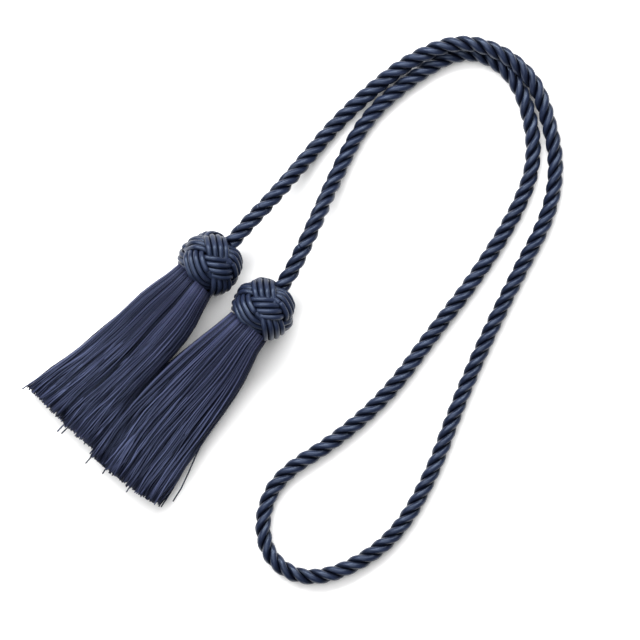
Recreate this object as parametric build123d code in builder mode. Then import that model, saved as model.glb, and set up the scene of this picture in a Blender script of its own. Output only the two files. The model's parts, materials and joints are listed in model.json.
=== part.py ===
"""Double tassel cord: a three-ply rope with a ball knot and a thread fringe at each end.

The cord lies on a flat surface at z = 0, seen from above: +X to the right, +Y away from the
viewer, +Z up. The origin is on that surface, under the middle of the pair of tassels.
All sizes are in millimetres.
"""

import os
from math import cos, pi, radians, sin, tan

from build123d import *

# Rope
ROPE_DIAMETER = 8.0
BEND_LENGTH = 10.0  # flexing stretch of rope just outside each ball
JOINT_GAP = 0.3  # clearance between pieces that turn against each other

# Ball knots
BALL_DIAMETER = 33.0
BALL_GAP = 1.75  # between the two balls, where they lie side by side
COVER_THICKNESS = 6.0  # two layers of 3 mm knotted cord, where they cross
COVER_SLACK = 0.1  # between the cover and the bead
MOUTH_STANDOFF = 1.5  # from the ball's surface out to the rope's bending point
MOUTH_RADIUS = 5.2  # round dimple that lets the rope bend at the mouth
BORE_CLEARANCE = 0.2  # round the rope inside the bead
BASE_OPENING = 20.6  # where the cover lets the fringe out

# Rope tail and its whipping
TAIL_END = 4.0  # how far the tail runs past the ball's centre
WHIPPING_THICKNESS = 0.9
WHIPPING_WIDTH = 3.0

# Fringe head: bound inside the bead's pocket, spreading towards the cover's base opening
HEAD_DIAMETER = 13.0
HEAD_START = 4.3
HEAD_SPREAD_DIAMETER = 20.0
HEAD_SPREAD_LENGTH = 4.0
POCKET_CLEARANCE = 0.2
BINDING_THICKNESS = 0.8
BINDING_WIDTH = 2.4
SPREAD_CLEARANCE = 0.45  # from the rim of the bead's pocket out to where the head spreads

# Fringe skirt: a round root, a bulge, a waist and a flat spread end
FRINGE_LENGTH = 89.5  # from the ball's base to the thread ends
ROOT_WIDTH = 21.0
SHOULDER_WIDTH = 28.5
BULGE_REACH = 17.2  # from its middle line to its free side
WAIST_REACH = 18.3
END_REACH = 23.0
BULGE_DEPTH = 20.0
WAIST_DEPTH = 17.0
END_DEPTH = 15.0
REST_SINK = 0.3  # how much of the round underside is pressed flat by the surface
SKIRT_GAP = 0.5  # between the two fringes, where they press against each other
PRESS_DEPTH = 1.0  # how much of each is pressed flat by the other

# Where the tassels lie, and which way their fringes point, in degrees from +X
FIRST_BALL = (24.2, 51.8)
SECOND_BALL_DIRECTION = -40.8
FIRST_HEADING = 225.0
SECOND_HEADING = 231.6
# Which way the rope leaves each ball's mouth
FIRST_ROPE_DIRECTION = 49.0
SECOND_ROPE_DIRECTION = 60.0

# The rope's route from the first ball to the second, without its two ends
ROPE_POINTS = [
    (57.2, 86.5, 16.0),
    (71.7, 104.0, 6.5),
    (86.2, 121.5, 4.0),
    (102.7, 138.0, 4.0),
    (122.2, 155.0, 8.0),
    (146.2, 164.5, 16.0),
    (169.2, 160.5, 16.0),
    (186.2, 145.0, 8.0),
    (193.2, 125.0, 4.0),
    (197.2, 101.5, 4.0),
    (193.2, 76.5, 4.0),
    (177.7, 47.5, 4.0),
    (161.2, 14.0, 4.0),
    (147.2, -18.5, 4.0),
    (134.2, -54.0, 4.0),
    (116.7, -84.0, 4.0),
    (92.2, -102.0, 4.0),
    (69.7, -106.5, 4.0),
    (52.2, -95.5, 4.0),
    (48.7, -75.0, 4.0),
    (58.7, -54.5, 4.0),
    (87.7, -35.5, 4.0),
    (113.2, -11.5, 4.0),
    (134.7, 18.0, 4.0),
    (155.7, 44.0, 4.0),
    (175.2, 75.5, 4.0),
    (184.7, 99.0, 4.0),
    (184.7, 123.0, 4.0),
    (175.2, 148.0, 4.0),
    (151.2, 158.5, 4.0),
    (123.7, 145.5, 4.0),
    (100.7, 123.5, 4.0),
    (84.2, 93.0, 6.5),
    (76.5, 73.5, 15.5),
]

rope_radius = ROPE_DIAMETER / 2
ball_radius = BALL_DIAMETER / 2
core_radius = ball_radius - COVER_THICKNESS - COVER_SLACK
bore_radius = rope_radius + BORE_CLEARANCE
opening_radius = BASE_OPENING / 2
head_radius = HEAD_DIAMETER / 2
pocket_radius = head_radius + POCKET_CLEARANCE
mouth_distance = ball_radius + MOUTH_STANDOFF
tail_start = -mouth_distance + rope_radius + JOINT_GAP
whipping_start = TAIL_END - WHIPPING_WIDTH
pocket_start = whipping_start - JOINT_GAP
pocket_rim = (core_radius**2 - pocket_radius**2) ** 0.5
spread_start = pocket_rim + SPREAD_CLEARANCE
binding_start = spread_start - BINDING_WIDTH


def direction(degrees):
    """Unit vector in the XY plane."""
    return Vector(cos(radians(degrees)), sin(radians(degrees)), 0)


first_centre = Vector(FIRST_BALL[0], FIRST_BALL[1], ball_radius)
second_centre = first_centre + direction(SECOND_BALL_DIRECTION) * (BALL_DIAMETER + BALL_GAP)
TASSELS = {
    "first": (first_centre, FIRST_HEADING, FIRST_ROPE_DIRECTION, 1),
    "second": (second_centre, SECOND_HEADING, SECOND_ROPE_DIRECTION, -1),
}

# Upright plane between the two fringes
divide_heading = (FIRST_HEADING + SECOND_HEADING) / 2
divide_normal = direction(divide_heading + 90)  # points from the first fringe to the second
divide_point = (first_centre + second_centre) * 0.5


def tassel_plane(centre, heading, distance=0.0):
    """Plane across a tassel: its normal runs along the fringe, its y is up."""
    along = direction(heading)
    return Plane(origin=centre + along * distance, x_dir=direction(heading + 90), z_dir=along)


def lift_pivot(centre, heading):
    """Where a ball tilts up on its rope, just outside its mouth."""
    return centre - direction(heading) * mouth_distance


def swing_pivot(centre, heading, rope_direction):
    """Where the rope turns to one side, a short stretch before the ball."""
    return lift_pivot(centre, heading) + direction(rope_direction) * BEND_LENGTH


def rope_bend(centre, heading, rope_direction):
    """Round-ended stretch of rope between the lift pivot and the swing pivot."""
    with BuildPart(Plane(origin=lift_pivot(centre, heading), z_dir=direction(rope_direction))) as bend:
        Cylinder(rope_radius, BEND_LENGTH, align=(Align.CENTER, Align.CENTER, Align.MIN))
        with Locations((0, 0, 0), (0, 0, BEND_LENGTH)):
            Sphere(rope_radius)
    return bend.part


def rope_tail(centre, heading):
    """The rope's end inside the bead."""
    with BuildPart(tassel_plane(centre, heading, tail_start)) as tail:
        Cylinder(rope_radius, TAIL_END - tail_start, align=(Align.CENTER, Align.CENTER, Align.MIN))
    return tail.part


def tail_whipping(centre, heading):
    """Thread wound round the rope's tail, too thick to slip back through the bore."""
    with BuildPart() as whipping:
        with BuildSketch(tassel_plane(centre, heading, whipping_start)):
            Circle(rope_radius + WHIPPING_THICKNESS)
            Circle(rope_radius, mode=Mode.SUBTRACT)
        extrude(amount=WHIPPING_WIDTH)
    return whipping.part


def knot_core(centre, heading):
    """Wooden bead with a bore for the rope and a pocket for the fringe's head."""
    with BuildPart(tassel_plane(centre, heading)) as core:
        Sphere(core_radius)
        Cylinder(bore_radius, BALL_DIAMETER, mode=Mode.SUBTRACT)
        with Locations((0, 0, pocket_start)):
            Cylinder(
                pocket_radius,
                BALL_DIAMETER,
                align=(Align.CENTER, Align.CENTER, Align.MIN),
                mode=Mode.SUBTRACT,
            )
        with Locations((0, 0, -mouth_distance)):
            Sphere(MOUTH_RADIUS, mode=Mode.SUBTRACT)
    return core.part


def knot_cover(centre, heading):
    """Shell of knotted cord, open at the rope's mouth and at the fringe."""
    with BuildPart(tassel_plane(centre, heading)) as cover:
        Sphere(ball_radius)
        Sphere(ball_radius - COVER_THICKNESS, mode=Mode.SUBTRACT)
        Cylinder(
            bore_radius,
            BALL_DIAMETER,
            align=(Align.CENTER, Align.CENTER, Align.MAX),
            mode=Mode.SUBTRACT,
        )
        Cylinder(
            opening_radius,
            BALL_DIAMETER,
            align=(Align.CENTER, Align.CENTER, Align.MIN),
            mode=Mode.SUBTRACT,
        )
        with Locations((0, 0, -mouth_distance)):
            Sphere(MOUTH_RADIUS, mode=Mode.SUBTRACT)
    return cover.part


def fringe_head(centre, heading):
    """Bundled upper ends of the threads, with a groove for their binding."""
    with BuildPart() as head:
        with BuildSketch(tassel_plane(centre, heading, HEAD_START)):
            Circle(head_radius)
        extrude(amount=spread_start - HEAD_START)
        with BuildSketch(tassel_plane(centre, heading, spread_start)):
            Circle(head_radius)
        with BuildSketch(tassel_plane(centre, heading, spread_start + HEAD_SPREAD_LENGTH)) as mouth:
            Circle(HEAD_SPREAD_DIAMETER / 2)
        loft()
        with BuildSketch(mouth.workplanes[0]):
            Circle(HEAD_SPREAD_DIAMETER / 2)
        extrude(amount=ball_radius)
        with BuildSketch(tassel_plane(centre, heading, binding_start)):
            Circle(pocket_radius)
            Circle(head_radius - BINDING_THICKNESS, mode=Mode.SUBTRACT)
        extrude(amount=BINDING_WIDTH, mode=Mode.SUBTRACT)
        with BuildPart(tassel_plane(centre, heading), mode=Mode.INTERSECT):
            Sphere(ball_radius)
    return head.part


def head_binding(centre, heading):
    """Thread wound round the fringe's head, in its groove."""
    with BuildPart() as binding:
        with BuildSketch(tassel_plane(centre, heading, binding_start)):
            Circle(head_radius)
            Circle(head_radius - BINDING_THICKNESS, mode=Mode.SUBTRACT)
        extrude(amount=BINDING_WIDTH)
    return binding.part


def fringe_skirt(centre, heading, side):
    """Loose threads, swelling below the ball and spreading out flat on the surface."""
    root_distance = (ball_radius**2 - (ROOT_WIDTH / 2) ** 2) ** 0.5 - 2 * JOINT_GAP
    end_distance = ball_radius + FRINGE_LENGTH
    run = end_distance - root_distance

    def pressed_reach(distance):
        """How far the fringe reaches towards the other one, before it is pressed flat."""
        middle = centre + direction(heading) * distance
        return (divide_point - middle).dot(divide_normal) * side + PRESS_DEPTH

    # distance along the fringe, free reach, reach towards the other fringe, depth, height
    shoulder_distance = root_distance + 0.13 * run
    bulge_distance = root_distance + 0.34 * run
    waist_distance = root_distance + 0.64 * run
    sections = [
        (root_distance, ROOT_WIDTH / 2, ROOT_WIDTH / 2, ROOT_WIDTH, ball_radius),
        (shoulder_distance, SHOULDER_WIDTH / 2, SHOULDER_WIDTH / 2, ROOT_WIDTH + 1, ball_radius - 2.2),
        (bulge_distance, BULGE_REACH, pressed_reach(bulge_distance), BULGE_DEPTH, BULGE_DEPTH / 2 + 0.6),
        (waist_distance, WAIST_REACH, pressed_reach(waist_distance), WAIST_DEPTH, WAIST_DEPTH / 2 - REST_SINK),
        (end_distance, END_REACH, pressed_reach(end_distance), END_DEPTH, END_DEPTH / 2 - REST_SINK),
    ]
    with BuildPart() as skirt:
        for distance, free_reach, inner_reach, depth, height in sections:
            with BuildSketch(tassel_plane(centre, heading, distance)):
                with Locations((side * (inner_reach - free_reach) / 2, height - ball_radius)):
                    Ellipse((free_reach + inner_reach) / 2, depth / 2)
        loft()
        with BuildPart(Plane(centre), mode=Mode.SUBTRACT):
            Sphere(ball_radius + JOINT_GAP)
        split(bisect_by=Plane.XY, keep=Keep.TOP)
        split(
            bisect_by=Plane(origin=divide_point - divide_normal * (side * SKIRT_GAP / 2), z_dir=divide_normal),
            keep=Keep.BOTTOM if side > 0 else Keep.TOP,
        )
    return skirt.part


def rope_end(pivot, next_point):
    """Where the free rope starts, just clear of the flexing stretch."""
    return pivot + (next_point - pivot).normalized() * (rope_radius + JOINT_GAP)


# The free rope: straight runs joined by tangent arcs
route = [Vector(point) for point in ROPE_POINTS]
first_pivot = swing_pivot(first_centre, FIRST_HEADING, FIRST_ROPE_DIRECTION)
second_pivot = swing_pivot(second_centre, SECOND_HEADING, SECOND_ROPE_DIRECTION)
route = [rope_end(first_pivot, route[0]), *route, rope_end(second_pivot, route[-1])]
bend_radii = []
for before, corner, after in zip(route, route[1:], route[2:]):
    incoming, outgoing = corner - before, after - corner
    half_turn = radians(incoming.get_angle(outgoing)) / 2
    bend_radii.append(0.45 * min(incoming.length, outgoing.length) / tan(half_turn))
print("rope bend radii:", [round(radius, 1) for radius in bend_radii])

with BuildPart() as rope:
    with BuildLine() as rope_path:
        centreline = FilletPolyline(*route, radius=bend_radii)
    with BuildSketch(Plane(origin=route[0], z_dir=centreline % 0)):
        Circle(rope_radius)
    sweep()
rope_length = centreline.length
section_volume = pi * rope_radius**2 * rope_length
print(f"rope length {rope_length:.1f}, volume {rope.part.volume:.0f}, section x length {section_volume:.0f}")

pieces = {"rope": rope.part}
for name, (centre, heading, rope_direction, side) in TASSELS.items():
    pieces[f"{name}_rope_bend"] = rope_bend(centre, heading, rope_direction)
    pieces[f"{name}_rope_tail"] = rope_tail(centre, heading)
    pieces[f"{name}_tail_whipping"] = tail_whipping(centre, heading)
    pieces[f"{name}_knot_core"] = knot_core(centre, heading)
    pieces[f"{name}_knot_cover"] = knot_cover(centre, heading)
    pieces[f"{name}_fringe_head"] = fringe_head(centre, heading)
    pieces[f"{name}_head_binding"] = head_binding(centre, heading)
    pieces[f"{name}_fringe_skirt"] = fringe_skirt(centre, heading, side)

os.makedirs("parts", exist_ok=True)
for label, piece in pieces.items():
    piece.label = label
    export_step(piece, f"parts/{label}.step")
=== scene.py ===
"""Looks of the double tassel cord: its twisted rope, ball knots and thread fringes.

Everything is in metres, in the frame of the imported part. The cord lies on the surface at z = 0.
"""

import json
from math import cos, pi, radians, sin, tau

import bpy
import numpy as np
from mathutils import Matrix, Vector


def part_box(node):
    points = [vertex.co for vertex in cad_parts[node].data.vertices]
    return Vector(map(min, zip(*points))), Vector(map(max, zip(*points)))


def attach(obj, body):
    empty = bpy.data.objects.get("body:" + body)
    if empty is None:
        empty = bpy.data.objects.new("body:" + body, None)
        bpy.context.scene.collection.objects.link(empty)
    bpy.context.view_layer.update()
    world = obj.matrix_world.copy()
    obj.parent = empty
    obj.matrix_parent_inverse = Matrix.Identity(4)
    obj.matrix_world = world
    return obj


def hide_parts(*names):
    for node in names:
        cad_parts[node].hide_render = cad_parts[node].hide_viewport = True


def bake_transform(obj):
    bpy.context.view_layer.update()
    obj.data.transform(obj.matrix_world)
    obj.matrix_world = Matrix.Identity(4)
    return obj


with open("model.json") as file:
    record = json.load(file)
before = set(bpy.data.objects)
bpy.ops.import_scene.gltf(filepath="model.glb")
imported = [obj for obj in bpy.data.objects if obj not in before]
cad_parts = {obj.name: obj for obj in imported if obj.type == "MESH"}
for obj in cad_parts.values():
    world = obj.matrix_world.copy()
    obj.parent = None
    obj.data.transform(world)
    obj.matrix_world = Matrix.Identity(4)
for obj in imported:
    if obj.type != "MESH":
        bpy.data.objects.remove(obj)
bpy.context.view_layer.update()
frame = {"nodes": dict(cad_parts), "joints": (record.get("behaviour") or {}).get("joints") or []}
joints = {joint["name"]: joint for joint in frame["joints"]}

# Rope: three plies laid right-handed, each spun from a few yarns
ROPE_DIAMETER = 0.008
LAY_LENGTH = 0.0215  # one full turn of a ply
PLY_COUNT = 3
PLY_RADIUS = 0.00186
YARNS_IN_PLY = 6
PLY_SIDES_TO_YARN = 4
YARN_RELIEF = 0.00007
YARN_TWIST = 0.012  # length in which a ply's yarns turn once round it
NECK_LENGTH = 0.0093  # rope beside the lift joint, from inside the mouth, kept as a piece of its own
TURN_LENGTH = 0.014  # rope beside the swing joint, kept as a piece of its own
MOUTH_DEPTH = 0.0043  # how far inside the lift pivot the visible rope starts
BLEND_MARGIN = 0.0005  # distance in from each end of a neck or turn piece at which the rope's line is looked up; the spot found is not used
FREE_MARGIN = 0.0015  # the same, at the end of a turn piece that meets the free rope
ROUTE_RESOLUTION = 36  # points of the smooth line to each point of the route

# The rope's route from the first ball to the second
ROPE_ROUTE = [
    (0.0572, 0.0865, 0.0155),
    (0.0717, 0.1040, 0.0065),
    (0.0862, 0.1215, 0.0040),
    (0.1030, 0.1376, 0.0042),
    (0.1230, 0.1532, 0.0080),
    (0.1462, 0.1629, 0.0113),
    (0.1679, 0.1582, 0.0113),
    (0.1854, 0.1438, 0.0075),
    (0.1926, 0.1245, 0.0040),
    (0.1972, 0.1015, 0.0040),
    (0.1932, 0.0765, 0.0040),
    (0.1777, 0.0475, 0.0040),
    (0.1612, 0.0140, 0.0040),
    (0.1472, -0.0185, 0.0040),
    (0.1342, -0.0540, 0.0040),
    (0.1167, -0.0840, 0.0040),
    (0.0926, -0.1008, 0.0040),
    (0.0698, -0.1057, 0.0040),
    (0.0529, -0.0950, 0.0040),
    (0.0489, -0.0748, 0.0040),
    (0.0578, -0.0536, 0.0040),
    (0.0877, -0.0355, 0.0040),
    (0.1138, -0.0121, 0.0040),
    (0.1351, 0.0176, 0.0040),
    (0.1557, 0.0440, 0.0040),
    (0.1755, 0.0755, 0.0040),
    (0.1854, 0.0990, 0.0040),
    (0.1846, 0.1230, 0.0040),
    (0.1747, 0.1487, 0.0040),
    (0.1512, 0.1602, 0.0040),
    (0.1242, 0.1450, 0.0040),
    (0.1006, 0.1238, 0.0040),
    (0.0851, 0.0927, 0.0065),
    (0.0766, 0.0727, 0.0155),
]

# Ball knots: four tilted bands woven over and under round the bead, each of four cords side by
# side. A phase is how far round its band a point is
KNOT_CORD_RADIUS = 0.0015
KNOT_CORD_FULLNESS = 0.97  # share of that radius drawn, so that cords side by side show a gap
KNOT_CORD_SIDES = 14
KNOT_CORD_STEPS = 144
CORDS_IN_BAND = 4
BANDS = 4
BAND_MIDDLE = radians(-9.5)  # latitude, less than 0 towards the rope
BAND_SWING = radians(41.5)
CROSSING_PHASES = np.array([0.25, 0.5, 0.75, 1.25, 1.5, 1.75]) * pi
CROSSING_SIDES = [-1, 1, -1, 1, -1, 1]  # under or over at each crossing
CROSSING_REACH = 1.2  # phase from a crossing within which it moves a cord
PHASE_STEP = 1e-4  # each way, to find the way a band runs
UNDER_REACH = 0.0050  # how far from a crossing's middle a cord is fully over or under
RISE_REACH = 0.0100  # how far from it a cord is back at mid-height

# Fringes: loose threads, gathered in locks. Shares are of the fringe's reach across and up
THREAD_RADIUS = 0.00037
THREAD_COUNT = 1000
LOCK_COUNT = 130
THREAD_STEPS = 12
THREAD_SIDES = 5
THREAD_START = 0.0105  # from the ball's middle, inside the cover
FIRST_SEED = 11
GOLDEN_ANGLE = radians(137.508)
ROOT_JITTER = 0.012  # share
LOCK_JITTER = 0.05  # share
LOCK_PULL = 0.3  # the most that a thread is drawn to its lock's middle
LOCK_SHIFT = (0.055, 0.06)  # shares, across and up, by which a lock leaves its place
THREAD_SHIFT = (0.045, 0.05)  # shares, across and up, by which a thread leaves its lock
SHIFT_START, SHIFT_RUN = 0.018, 0.095  # distances over which both grow
OUTSIDE_SHARE = 0.25  # of what a thread reaches beyond the outline
LOCK_END = (-0.0014, 0.0010)  # how far short of the end line, or past it, a lock may stop
THREAD_END = 0.0004  # spread of the threads' own ends
UPPER_END = 0.0006  # how much further the uppermost threads reach
WAVE_HEIGHT = 0.00045
WAVE_START, WAVE_RUN = 0.02, 0.08  # distances over which the waves grow
WAVE_LENGTHS = (0.03, 0.07)  # shortest and longest of a thread's own wave
LOCK_WAVE_GAIN = 1.4  # height of a lock's wave, against a thread's own
LOCK_WAVE_LENGTH = 0.06
LOCK_TONE, THREAD_TONE = 0.3, 0.7  # what locks and single threads add to a thread's tone
THREAD_TONE_POWER = 2.3  # more dark threads than light ones
HEIGHT_SHADE_BASE, HEIGHT_SHADE_GAIN = 0.75, 0.6  # painted shade: threads get lighter from the lowest to the uppermost, as less light reaches the lower ones
HEIGHT_SHADE_LIMITS = (0.2, 1)  # of that gain
STRAY_HEIGHT, STRAY_REACH = 0.1, 0.7  # shares, how high and far out a stray's root must be
STRAY_ROOT_SCALE, STRAY_ROOT_LIMIT = 0.021, 0.0195  # the fringe's reach, to choose a stray's root


class Tassel:
    """Where one tassel lies: its ball's middle, the way its fringe points, and its pivots.

    knot_turn is in degrees about the fringe. inner_side is 1 or -1, the side across the fringe
    on which the other tassel lies.
    """

    def __init__(self, name, knot_turn, inner_side, outline, end_line, strays):
        self.name = name
        self.middle = Vector(joints[f"{name}_sway"]["pos_m"])
        self.lift = Vector(joints[f"{name}_lift"]["pos_m"])
        self.swing = Vector(joints[f"{name}_swing"]["pos_m"])
        self.along = (self.middle - self.lift).normalized()
        self.up = Vector((0, 0, 1))
        self.across = self.up.cross(self.along)
        low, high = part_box(f"{name}_knot_cover")
        self.radius = (high.z - low.z) / 2
        self.knot_turn = radians(knot_turn)
        self.inner_side = inner_side
        self.outline = outline
        self.end_line = end_line
        self.strays = strays

    def place(self, along, across, up):
        """Points in the frame, from distances along the fringe, across it and up."""
        axes = [np.array(axis)[None, :] for axis in (self.along, self.across, self.up)]
        offsets = [np.asarray(offset, float).ravel()[:, None] for offset in (along, across, up)]
        return np.array(self.middle)[None, :] + sum(o * a for o, a in zip(offsets, axes))


# Outline of a fringe: distance from the ball's middle, reach on the free side, reach towards the
# other fringe
FIRST_OUTLINE = [
    (0.011, 0.0106, 0.0112),
    (0.017, 0.0112, 0.0134),
    (0.025, 0.0130, 0.0168),
    (0.035, 0.0149, 0.0190),
    (0.054, 0.0151, 0.0202),
    (0.074, 0.0163, 0.0208),
    (0.092, 0.0197, 0.0222),
    (0.108, 0.0220, 0.0250),
]
SECOND_OUTLINE = [
    (0.011, 0.0108, 0.0112),
    (0.019, 0.0112, 0.0134),
    (0.031, 0.0149, 0.0165),
    (0.045, 0.0170, 0.0196),
    (0.061, 0.0175, 0.0220),
    (0.077, 0.0182, 0.0238),
    (0.092, 0.0196, 0.0240),
    (0.110, 0.0206, 0.0228),
]
# Depth of a fringe: distance from the ball's middle, height of its own middle above the surface,
# half its depth
FRINGE_HEIGHTS = [
    (0.011, 0.0165, 0.0108),
    (0.025, 0.0143, 0.0110),
    (0.045, 0.0107, 0.0100),
    (0.072, 0.0085, 0.0083),
    (0.108, 0.0072, 0.0070),
]
PROFILE_ROUNDING = 0.005  # distance each way over which a row's corner is rounded off
# Distance of the cut ends on the free side, and on the side towards the other fringe
FIRST_END_LINE = (0.1066, 0.1056)
SECOND_END_LINE = (0.1086, 0.1094)
# Threads that stray from the end line: distance of the end, and its place across
FIRST_STRAYS = [(0.1100, -0.0222), (0.1125, 0.0052), (0.1118, 0.0073), (0.1140, 0.0262)]
SECOND_STRAYS = [(0.1026, 0.0240), (0.1135, -0.0120), (0.1130, 0.0030)]

tassels = [
    Tassel("first", 25, 1, FIRST_OUTLINE, FIRST_END_LINE, FIRST_STRAYS),
    Tassel("second", 8, -1, SECOND_OUTLINE, SECOND_END_LINE, SECOND_STRAYS),
]
first, second = tassels


# Meshes


def strand_mesh(name, strands, lengths, tones_and_shade=None, closed=False):
    """One mesh of many strands, each an array of rings of points.

    lengths gives the distance of every ring along its strand, and the tones, painted shade
    included, one for each strand.
    The UVs are the distance along a strand and the share of the way round it.
    """
    points, corners, starts, uvs = [], [], [], []
    point_count, corner_count = 0, 0
    for rings, along in zip(strands, lengths):
        count, sides = rings.shape[:2]
        points.append(rings.reshape(-1, 3))
        spans = np.arange(count if closed else count - 1)
        ring, spot = (grid.ravel() for grid in np.meshgrid(spans, np.arange(sides), indexing="ij"))
        after, beside = (ring + 1) % count, (spot + 1) % sides
        here, onward = ring * sides, after * sides
        quads = np.stack([here + spot, here + beside, onward + beside, onward + spot], axis=1)
        joined = 2 * along[-1] - along[-2]  # where a closed strand meets its start again
        ends = np.where(ring + 1 < count, along[np.minimum(ring + 1, count - 1)], joined)
        u = np.stack([along[ring], along[ring], ends, ends], axis=1)
        v = np.stack([spot, spot + 1, spot + 1, spot], axis=1) / sides
        corners.append(quads.ravel() + point_count)
        uvs.append(np.stack([u.ravel(), v.ravel()], axis=1))
        starts.append(corner_count + 4 * np.arange(len(quads)))
        corner_count += quads.size
        if not closed:
            for cap in (np.arange(sides)[::-1], (count - 1) * sides + np.arange(sides)):
                corners.append(cap + point_count)
                end = along[0] if cap[0] < sides else along[-1]
                uvs.append(np.stack([np.full(sides, end), np.full(sides, 0.5)], axis=1))
                starts.append(np.array([corner_count]))
                corner_count += sides
        point_count += count * sides
    mesh = bpy.data.meshes.new(name)
    mesh.vertices.add(point_count)
    mesh.vertices.foreach_set("co", np.concatenate(points).astype(np.float32).ravel())
    mesh.loops.add(corner_count)
    mesh.loops.foreach_set("vertex_index", np.concatenate(corners).astype(np.int32))
    starts = np.concatenate(starts).astype(np.int32)
    mesh.polygons.add(len(starts))
    mesh.polygons.foreach_set("loop_start", starts)
    mesh.update(calc_edges=True)
    uvs = np.concatenate(uvs).astype(np.float32)
    mesh.uv_layers.new(name="strand").data.foreach_set("uv", uvs.ravel())
    if tones_and_shade is not None:
        shades = np.repeat(tones_and_shade, [len(strand) for strand in points]).astype(np.float32)
        mesh.attributes.new("tone", "FLOAT", "POINT").data.foreach_set("value", shades)
    mesh.validate()
    mesh.shade_smooth()
    piece = bpy.data.objects.new(name, mesh)
    bpy.context.scene.collection.objects.link(piece)
    return piece


def unit(vectors):
    """Vectors of an array, each made one long."""
    return vectors / np.linalg.norm(vectors, axis=-1, keepdims=True)


def rings_round(line, tangents, normals, radii, sides):
    """Rings of points round a line, each starting on the side away from its normal."""
    normals = unit(normals - (normals * tangents).sum(-1, keepdims=True) * tangents)
    binormals = np.cross(tangents, normals)
    angles = pi + tau * np.arange(sides) / sides
    radii = np.broadcast_to(radii, (len(line), sides))[:, :, None]
    towards_normal = np.cos(angles)[None, :, None] * normals[:, None, :]
    towards_binormal = np.sin(angles)[None, :, None] * binormals[:, None, :]
    return line[:, None, :] + radii * (towards_normal + towards_binormal)


# Rope


def spline_line(route):
    """Points of the smooth line that a route's points control."""
    curve = bpy.data.curves.new("rope_line", "CURVE")
    curve.dimensions = "3D"
    curve.resolution_u = ROUTE_RESOLUTION
    spline = curve.splines.new("NURBS")
    spline.points.add(len(route) - 1)
    for point, place in zip(spline.points, route):
        point.co = (*place, 1)
    spline.order_u = 3
    spline.use_endpoint_u = True
    holder = bpy.data.objects.new("rope_line", curve)
    bpy.context.scene.collection.objects.link(holder)
    depsgraph = bpy.context.evaluated_depsgraph_get()
    mesh = bpy.data.meshes.new_from_object(holder.evaluated_get(depsgraph))
    line = np.array([vertex.co for vertex in mesh.vertices], float)
    bpy.data.objects.remove(holder)
    bpy.data.meshes.remove(mesh)
    return line


def rope_plies(line):
    """Rings of each ply along the rope's line, and the distance of each ring."""
    distance = np.concatenate([[0], np.cumsum(np.linalg.norm(np.diff(line, axis=0), axis=1))])
    tangents = unit(np.gradient(line, axis=0))
    sideways = unit(np.cross((0, 0, 1), tangents))
    upwards = np.cross(tangents, sideways)
    sides = PLY_SIDES_TO_YARN * YARNS_IN_PLY
    around = tau * np.arange(sides) / sides
    yarn_turn = tau * distance / YARN_TWIST
    relief = YARN_RELIEF * np.cos(YARNS_IN_PLY * around[None, :] + yarn_turn[:, None])
    plies = []
    for number in range(PLY_COUNT):
        turn = tau * (distance / LAY_LENGTH + number / PLY_COUNT)
        outwards = np.cos(turn)[:, None] * sideways + np.sin(turn)[:, None] * upwards
        ply_line = line + (ROPE_DIAMETER / 2 - PLY_RADIUS) * outwards
        ply_tangents = unit(np.gradient(ply_line, axis=0))
        plies.append(rings_round(ply_line, ply_tangents, outwards, PLY_RADIUS + relief, sides))
    return plies, distance


def rope_piece(name, plies, distance, start, end):
    """The stretch of rope between two distances, as its three plies."""
    first_ring, last_ring = np.searchsorted(distance, (start, end))
    stretch = slice(first_ring, last_ring + 1)
    return strand_mesh(name, [ply[stretch] for ply in plies], [distance[stretch]] * PLY_COUNT)


def mouth_route(tassel):
    """Points of the route from inside a ball's mouth out to where it turns."""
    return [tassel.lift + tassel.along * MOUTH_DEPTH, tassel.lift, tassel.swing]


rope_line = spline_line([*mouth_route(first), *ROPE_ROUTE, *reversed(mouth_route(second))])
plies, distance = rope_plies(rope_line)
full = distance[-1]
free_start = NECK_LENGTH + TURN_LENGTH
rope = rope_piece("rope_plies", plies, distance, free_start, full - free_start)
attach(rope, "cord")
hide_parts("rope")


def spot_from(tassel, length):
    """The rope's line at a distance from a tassel's end of it."""
    return rope_line[np.searchsorted(distance, length if tassel is first else full - length)]


bending = []
for tassel, neck_stretch, turn_stretch in (
    (first, (0, NECK_LENGTH), (NECK_LENGTH, free_start)),
    (second, (full - NECK_LENGTH, full), (full - free_start, full - NECK_LENGTH)),
):
    neck = rope_piece(f"{tassel.name}_rope_neck", plies, distance, *neck_stretch)
    spot_from(tassel, NECK_LENGTH - BLEND_MARGIN)
    spot_from(tassel, BLEND_MARGIN)
    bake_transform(neck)
    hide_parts(f"{tassel.name}_rope_bend")
    turn = rope_piece(f"{tassel.name}_rope_turn", plies, distance, *turn_stretch)
    spot_from(tassel, free_start - FREE_MARGIN)
    spot_from(tassel, NECK_LENGTH + BLEND_MARGIN)
    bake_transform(turn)
    bending += [neck, turn]
rope_pieces = [rope, *bending]
free = slice(*np.searchsorted(distance, (free_start, full - free_start)))


# Ball knots


def smooth_step(value):
    """From 0 to 1, level at both ends."""
    value = np.clip(value, 0, 1)
    return value * value * (3 - 2 * value)


def ball_points(tassel, phases, band):
    """Points of one radius round the ball, on a band's middle line."""
    latitude = BAND_MIDDLE + BAND_SWING * np.cos(phases)
    longitude = tassel.knot_turn + phases + tau * band / BANDS
    along, across, up = (np.array(axis) for axis in (tassel.along, tassel.across, tassel.up))
    round_axis = np.cos(longitude)[:, None] * up + np.sin(longitude)[:, None] * across
    return np.cos(latitude)[:, None] * round_axis + np.sin(latitude)[:, None] * along


def band_sides(tassel, phases, band):
    """A band's middle points, the way it runs there, and the way across it."""
    points = ball_points(tassel, phases, band)
    ahead, behind = (ball_points(tassel, phases + step, band) for step in (PHASE_STEP, -PHASE_STEP))
    onward = unit(ahead - behind)
    return points, onward, np.cross(points, onward)


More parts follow.
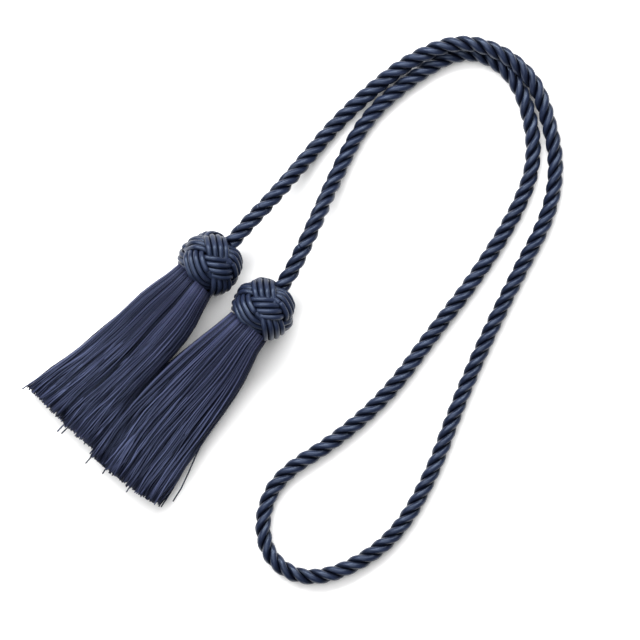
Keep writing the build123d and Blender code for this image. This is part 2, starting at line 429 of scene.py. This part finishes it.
def cord_lift(tassel, places, phases, crossings, runs, outer):
    """How far a cord is over (1) or under (-1) its knot's mid-height, at each of its places."""
    lift = np.zeros(len(phases))
    for phase, side, crossing, onward in zip(CROSSING_PHASES, CROSSING_SIDES, crossings, runs):
        # The other band there is the mirror image of this one about the ball's meridian
        meridian = unit(np.array(tassel.along) - crossing * np.dot(tassel.along, crossing))
        other = 2 * meridian * np.dot(meridian, onward) - onward
        from_other = np.abs(places @ np.cross(crossing, other)) * outer
        near = np.abs((phases - phase + pi) % tau - pi) < CROSSING_REACH
        lift += side * near * smooth_step((RISE_REACH - from_other) / (RISE_REACH - UNDER_REACH))
    return np.clip(lift, -1, 1)


def knot_cords(tassel):
    """The cords of every band, each over one crossing and under the next."""
    outer = tassel.radius - KNOT_CORD_RADIUS
    middle = outer - KNOT_CORD_RADIUS
    phases = np.linspace(0, tau, KNOT_CORD_STEPS, endpoint=False)
    strands, lengths = [], []
    for band in range(BANDS):
        crossings, runs, _ = band_sides(tassel, CROSSING_PHASES, band)
        points, _, sideways = band_sides(tassel, phases, band)
        for number in range(CORDS_IN_BAND):
            offset = (number - (CORDS_IN_BAND - 1) / 2) * 2 * KNOT_CORD_RADIUS / outer
            places = points * cos(offset) + sideways * sin(offset)
            lift = cord_lift(tassel, places, phases, crossings, runs, outer)
            line = np.array(tassel.middle) + places * (middle + KNOT_CORD_RADIUS * lift)[:, None]
            tangents = unit(np.roll(line, -1, axis=0) - np.roll(line, 1, axis=0))
            radius = KNOT_CORD_RADIUS * KNOT_CORD_FULLNESS
            strands.append(rings_round(line, tangents, places, radius, KNOT_CORD_SIDES))
            lengths.append(np.cumsum(np.linalg.norm(line - np.roll(line, 1, axis=0), axis=1)))
    return strand_mesh(f"{tassel.name}_knot_cords", strands, lengths, closed=True)


knots = []
for tassel in tassels:
    knot = knot_cords(tassel)
    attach(knot, f"{tassel.name}_ball")
    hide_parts(f"{tassel.name}_knot_cover")
    knots.append(knot)


# Fringes


def profile(distances, table, column):
    """A table's column between its rows, rounded off at each row."""
    rows = np.array(table)
    shifts = (-PROFILE_ROUNDING, 0, PROFILE_ROUNDING)
    return sum(np.interp(distances + shift, rows[:, 0], rows[:, column]) for shift in shifts) / 3


def disc_spots(count, jitter, rng):
    """Evenly spread spots in a round of radius 1."""
    numbers = np.arange(count)
    reach = np.sqrt((numbers + 0.5) / count)
    angle = numbers * GOLDEN_ANGLE
    spots = np.stack([reach * np.cos(angle), reach * np.sin(angle)], axis=1)
    return spots + rng.normal(0, jitter, spots.shape)


def choose_strays(tassel, roots):
    """The upper outer threads nearest to each stray's place, each with its end and place."""
    outer = np.linalg.norm(roots, axis=1) > STRAY_REACH
    candidates = np.nonzero((roots[:, 1] > STRAY_HEIGHT) & outer)[0]
    strays = {}
    for end, place in tassel.strays:
        wanted = np.sign(place) * min(abs(place), STRAY_ROOT_LIMIT)
        offsets = np.abs(roots[candidates, 0] * STRAY_ROOT_SCALE - wanted)
        strays[int(candidates[np.argmin(offsets)])] = (end, place)
    return strays


def fringe_threads(tassel, seed):
    """Loose threads from inside the ball's base to their ragged ends."""
    rng = np.random.default_rng(seed)
    roots = disc_spots(THREAD_COUNT, ROOT_JITTER, rng)
    locks = disc_spots(LOCK_COUNT, LOCK_JITTER, rng)
    own_lock = np.argmin(np.linalg.norm(roots[:, None] - locks[None], axis=2), axis=1)
    lock_pull = rng.uniform(0.0, LOCK_PULL, LOCK_COUNT)
    lock_shift = rng.normal(0, 1, (LOCK_COUNT, 2)) * LOCK_SHIFT
    lock_wave = rng.uniform(0, tau, LOCK_COUNT)
    lock_end = rng.uniform(*LOCK_END, LOCK_COUNT)
    lock_tone = rng.uniform(0, 1, LOCK_COUNT)
    shift = rng.normal(0, 1, (THREAD_COUNT, 2)) * THREAD_SHIFT
    wave = rng.uniform(0, tau, (THREAD_COUNT, 2))
    wave_length = rng.uniform(*WAVE_LENGTHS, THREAD_COUNT)
    end_step = rng.normal(0, THREAD_END, THREAD_COUNT) + UPPER_END * roots[:, 1]
    own_tone = rng.uniform(0, 1, THREAD_COUNT) ** THREAD_TONE_POWER
    tones_and_shade = LOCK_TONE * lock_tone[own_lock] + THREAD_TONE * own_tone
    # Painted shade: the lower threads are darkened, as if shaded by those above them
    tones_and_shade *= np.clip(HEIGHT_SHADE_BASE + HEIGHT_SHADE_GAIN * roots[:, 1], *HEIGHT_SHADE_LIMITS)
    free_end, inner_end = tassel.end_line
    strays = choose_strays(tassel, roots)
    run = np.linspace(0, 1, THREAD_STEPS + 1)
    strands, lengths = [], []
    for number in range(THREAD_COUNT):
        lock = own_lock[number]
        inner_share = (roots[number, 0] * tassel.inner_side + 1) / 2
        end = free_end + (inner_end - free_end) * inner_share + end_step[number] + lock_end[lock]
        if number in strays:
            end = strays[number][0]
        distances = THREAD_START + (end - THREAD_START) * run
        grown = smooth_step((distances - SHIFT_START) / SHIFT_RUN)
        pull = lock_pull[lock] * (locks[lock] - roots[number])
        spots = roots[number] + grown[:, None] * (pull + lock_shift[lock] + shift[number])
        reach = np.linalg.norm(spots, axis=1)
        held = np.where(reach > 1, (1 + OUTSIDE_SHARE * (reach - 1)) / reach, 1)
        spots = spots * held[:, None]
        free_reach, inner_reach = (profile(distances, tassel.outline, side) for side in (1, 2))
        height, depth = (profile(distances, FRINGE_HEIGHTS, column) for column in (1, 2))
        across = tassel.inner_side * (inner_reach - free_reach) / 2
        across = across + (inner_reach + free_reach) / 2 * spots[:, 0]
        up = height - tassel.radius + depth * spots[:, 1]
        sway = np.clip((distances - WAVE_START) / WAVE_RUN, 0, 1) * WAVE_HEIGHT
        turn = tau * distances / wave_length[number]
        lock_turn = tau * distances / LOCK_WAVE_LENGTH
        across += sway * np.sin(turn + wave[number, 0])
        across += sway * LOCK_WAVE_GAIN * np.sin(lock_turn + lock_wave[lock])
        up += sway * np.sin(turn + wave[number, 1])
        if number in strays:
            away = smooth_step((run - 0.5) / 0.5)
            across += away * (strays[number][1] - across[-1])
        up = np.maximum(up, THREAD_RADIUS - tassel.middle.z)
        line = tassel.place(distances, across, up)
        tangents = unit(np.gradient(line, axis=0))
        normals = np.broadcast_to(np.array([0, 0, 1.0]), line.shape)
        strands.append(rings_round(line, tangents, normals, THREAD_RADIUS, THREAD_SIDES))
        lengths.append(distances)
    return strand_mesh(f"{tassel.name}_threads", strands, lengths, tones_and_shade)


fringes = []
for seed, tassel in enumerate(tassels, FIRST_SEED):
    threads = fringe_threads(tassel, seed)
    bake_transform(threads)
    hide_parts(f"{tassel.name}_fringe_skirt")
    fringes.append(threads)


# Finishes


class Value:
    """A socket's value in a finish, with arithmetic that adds Math nodes."""

    def __init__(self, finish, socket):
        self.finish, self.socket = finish, socket

    def maths(self, operation, *values):
        return self.finish.add("ShaderNodeMath", {"operation": operation}, dict(enumerate(values)))

    def __abs__(self):
        return self.maths("ABSOLUTE", self)

    def __add__(self, other):
        return self.maths("ADD", self, other)

    def __radd__(self, other):
        return self.maths("ADD", other, self)

    def __sub__(self, other):
        return self.maths("SUBTRACT", self, other)

    def __mul__(self, other):
        return self.maths("MULTIPLY", self, other)

    def __rmul__(self, other):
        return self.maths("MULTIPLY", other, self)


class Finish:
    """A material and its nodes."""

    def __init__(self, name):
        self.material = bpy.data.materials.new(name)
        self.material.use_nodes = True
        self.tree = self.material.node_tree
        self.tree.nodes.clear()

    def add(self, kind, settings=None, inputs=None, output=0):
        """Adds a node, sets or links its inputs, and gives the chosen output, if it has any."""
        node = self.tree.nodes.new(kind)
        for setting, value in (settings or {}).items():
            setattr(node, setting, value)
        for socket, value in (inputs or {}).items():
            if isinstance(value, Value):
                self.tree.links.new(value.socket, node.inputs[socket])
            else:
                node.inputs[socket].default_value = value
        return Value(self, node.outputs[output]) if node.outputs else None

    def mix(self, factor, first_colour, second_colour):
        colours = {0: factor, 6: first_colour, 7: second_colour}
        return self.add("ShaderNodeMix", {"data_type": "RGBA"}, colours, output=2)

    def spread(self, value, start, end, low, high):
        """A value mapped from start-end to low-high, and held beyond them."""
        ranges = {0: value, 1: start, 2: end, 3: low, 4: high}
        return self.add("ShaderNodeMapRange", {"clamp": True}, ranges)

    def place(self):
        """The point's place in the piece's own space."""
        return self.add("ShaderNodeTexCoord", output="Object")

    def strand_place(self):
        """The point's distance along its strand, and its share of the way round it."""
        whole = self.add("ShaderNodeTexCoord", output="UV")
        return [
            self.add("ShaderNodeSeparateXYZ", inputs={0: whole}, output=axis) for axis in (0, 1)
        ]

    def noise(self, vector, scale, detail=2.0):
        inputs = {"Vector": vector, "Scale": scale, "Detail": detail, "Roughness": 0.6}
        return self.add("ShaderNodeTexNoise", inputs=inputs)

    def bump(self, height, strength, distance):
        inputs = {"Strength": strength, "Distance": distance, "Height": height}
        return self.add("ShaderNodeBump", inputs=inputs)

    def surface(self, constants, **changing):
        """Closes the finish with its shader. Constants sit on the shader's own sockets."""
        inputs = constants | {name.replace("_", " "): value for name, value in changing.items()}
        shader = self.add("ShaderNodeBsdfPrincipled", inputs=inputs, output="BSDF")
        self.add("ShaderNodeOutputMaterial", inputs={"Surface": shader})
        return self.material


NAVY_DEEP = (0.0008, 0.0012, 0.0045, 1)
NAVY = (0.008, 0.011, 0.026, 1)
NAVY_LIGHT = (0.025, 0.036, 0.078, 1)
NAVY_PURPLE = (0.034, 0.034, 0.084, 1)
THREAD_LIGHT = (0.074, 0.089, 0.170, 1)
WOOD_DARK = (0.010, 0.009, 0.014, 1)
WOOD_LIGHT = (0.032, 0.026, 0.034, 1)
COOL_GLOSS = (0.62, 0.76, 1, 1)
FILAMENT_RUN = 90  # noise cells to a metre of strand
GROOVE_SHADE_START, GROOVE_SHADE_END = 0.08, 0.24  # shares of the way round a strand, from its crown, between which painted groove shade grows
# Painted shade: how dark the grooves beside a strand are made
GROOVE_SHADE_DARKNESS = 0.95
RELIEF_HEIGHT = 0.0002
PURPLE_START, PURPLE_END = 0.012, 0.075  # distances along a thread
PURPLE_MOST, PURPLE_LEAST = 0.6, 0.1


def satin(name, filaments, twist, roughness, relief):
    """Satin yarn: fine filaments that run along the strand, turning slowly round it, with painted
    shade in the grooves.
    """
    finish = Finish(name)
    along, around = finish.strand_place()
    spun = {0: along * FILAMENT_RUN, 1: around * filaments + along * twist}
    lines = finish.noise(finish.add("ShaderNodeCombineXYZ", inputs=spun), 1.0)
    patches = finish.noise(finish.place(), 90.0, 3.0)
    tone = lines * 0.75 + patches * 0.45 - 0.1
    # A strand's crown is halfway round it. Painted shade: the colour darkens down in the grooves
    # beside it, where shade falls
    painted_groove_shade = finish.spread(abs(around - 0.5), GROOVE_SHADE_START, GROOVE_SHADE_END, 0, GROOVE_SHADE_DARKNESS)
    colour = finish.mix(painted_groove_shade, finish.mix(tone, NAVY_DEEP, NAVY_LIGHT), NAVY_DEEP)
    return finish.surface(
        {"Specular IOR Level": 0.36, "Specular Tint": COOL_GLOSS},
        Base_Color=colour,
        Roughness=roughness + 0.15 * lines,
        Normal=finish.bump(lines, relief, RELIEF_HEIGHT),
    )


def thread_finish(name):
    """Lustrous threads, each with its own tone and painted shade on the lower ones, more purple
    near the ball.
    """
    finish = Finish(name)
    along, _ = finish.strand_place()
    # The tone attribute holds each thread's own tone and the painted shade of the lower threads
    tone = finish.add("ShaderNodeAttribute", {"attribute_name": "tone"}, output="Fac")
    patches = finish.noise(finish.place(), 60.0, 3.0)
    base = finish.mix(tone * 0.95 + patches * 0.18 - 0.09, NAVY_DEEP, THREAD_LIGHT)
    near_ball = finish.spread(along, PURPLE_START, PURPLE_END, PURPLE_MOST, PURPLE_LEAST)
    return finish.surface(
        {"Specular IOR Level": 0.16, "Specular Tint": COOL_GLOSS},
        Base_Color=finish.mix(near_ball * tone, base, NAVY_PURPLE),
        Roughness=0.34 + 0.2 * patches,
    )


def bead_finish(name):
    """Turned wood, dyed dark."""
    finish = Finish(name)
    inputs = {"Vector": finish.place(), "Scale": (1, 1, 6)}
    grain = finish.noise(finish.add("ShaderNodeMapping", inputs=inputs), 250.0, 4.0)
    return finish.surface(
        {},
        Base_Color=finish.mix(grain, WOOD_DARK, WOOD_LIGHT),
        Roughness=0.5 + 0.2 * grain,
        Normal=finish.bump(grain, 0.2, RELIEF_HEIGHT / 2),
    )


def wound_thread_finish(name):
    """Matt thread wound side by side."""
    finish = Finish(name)
    weave = finish.noise(finish.place(), 900.0)
    return finish.surface(
        {"Specular IOR Level": 0.1},
        Base_Color=finish.mix(weave, NAVY_DEEP, NAVY),
        Roughness=0.75 + 0.1 * weave,
        Normal=finish.bump(weave, 0.4, RELIEF_HEIGHT),
    )


rope_satin = satin("rope_satin", filaments=26, twist=-900, roughness=0.26, relief=0.35)
knot_satin = satin("knot_cord_satin", filaments=18, twist=500, roughness=0.26, relief=0.25)
fringe_lustre = thread_finish("fringe_threads")
bead_wood = bead_finish("dyed_bead_wood")
wound_thread = wound_thread_finish("wound_thread")


def wear(piece, material):
    """Gives a piece its finish."""
    piece.data.materials.clear()
    piece.data.materials.append(material)


for pieces, material, slot in (
    (rope_pieces, rope_satin, "rope"),
    (knots, knot_satin, "knot"),
    (fringes, fringe_lustre, "fringe"),
):
    for piece in pieces:
        wear(piece, material)
for tassel in tassels:
    for part, material in (
        ("rope_tail", wound_thread),
        ("tail_whipping", wound_thread),
        ("knot_core", bead_wood),
        ("fringe_head", wound_thread),
        ("head_binding", wound_thread),
    ):
        wear(frame["nodes"][f"{tassel.name}_{part}"], material)


# Floor, light and camera

FLOOR_SIZE = 12
FLOOR_PALE = (0.93, 0.93, 0.93, 1)
FLOOR_PALEST = (0.95, 0.95, 0.95, 1)
AIR_LIGHT = 0.05  # light from all round
VIEW_MIDDLE = Vector((0.0787, 0.0240, 0))
VIEW_WIDTH = 0.320
VIEW_DISTANCE = 1.6
SENSOR_WIDTH = 36  # millimetres
CLIP_END = 50


def studio_floor():
    """A plain pale surface under the cord."""
    bpy.ops.mesh.primitive_plane_add(size=FLOOR_SIZE, location=(0, 0, 0))
    floor = bpy.context.active_object
    floor.name = "studio_floor"
    finish = Finish("pale_floor")
    colour = finish.mix(finish.noise(finish.place(), 3.0), FLOOR_PALE, FLOOR_PALEST)
    matt = {"Roughness": 0.9, "Specular IOR Level": 0.1}
    floor.data.materials.append(finish.surface(matt, Base_Color=colour))


def soft_box(name, place, target, size, power):
    """A rectangular lamp that faces its target."""
    lamp = bpy.data.lights.new(name, "AREA")
    lamp.shape = "RECTANGLE"
    lamp.size, lamp.size_y = size
    lamp.energy = power
    holder = bpy.data.objects.new(name, lamp)
    holder.location = place
    holder.rotation_euler = (Vector(target) - Vector(place)).to_track_quat("-Z", "Y").to_euler()
    bpy.context.scene.collection.objects.link(holder)


studio_floor()
soft_box("key_box", (-0.15, 1.05, 1.05), VIEW_MIDDLE, size=(2.4, 0.4), power=46)
soft_box("fill_box", (-0.45, 0.35, 2.1), VIEW_MIDDLE, size=(2.8, 2.8), power=72)
world = bpy.data.worlds.new("studio_air")
world.use_nodes = True
background = world.node_tree.nodes["Background"]
background.inputs["Color"].default_value = (1, 1, 1, 1)
background.inputs["Strength"].default_value = AIR_LIGHT
bpy.context.scene.world = world
bpy.context.scene.view_settings.view_transform = "Standard"

lens = bpy.data.cameras.new("camera")
lens.sensor_width = SENSOR_WIDTH
lens.lens = SENSOR_WIDTH * VIEW_DISTANCE / VIEW_WIDTH
lens.clip_end = CLIP_END
camera = bpy.data.objects.new("camera", lens)
camera.location = VIEW_MIDDLE + Vector((0, 0, VIEW_DISTANCE))
bpy.context.scene.collection.objects.link(camera)
bpy.context.scene.camera = camera
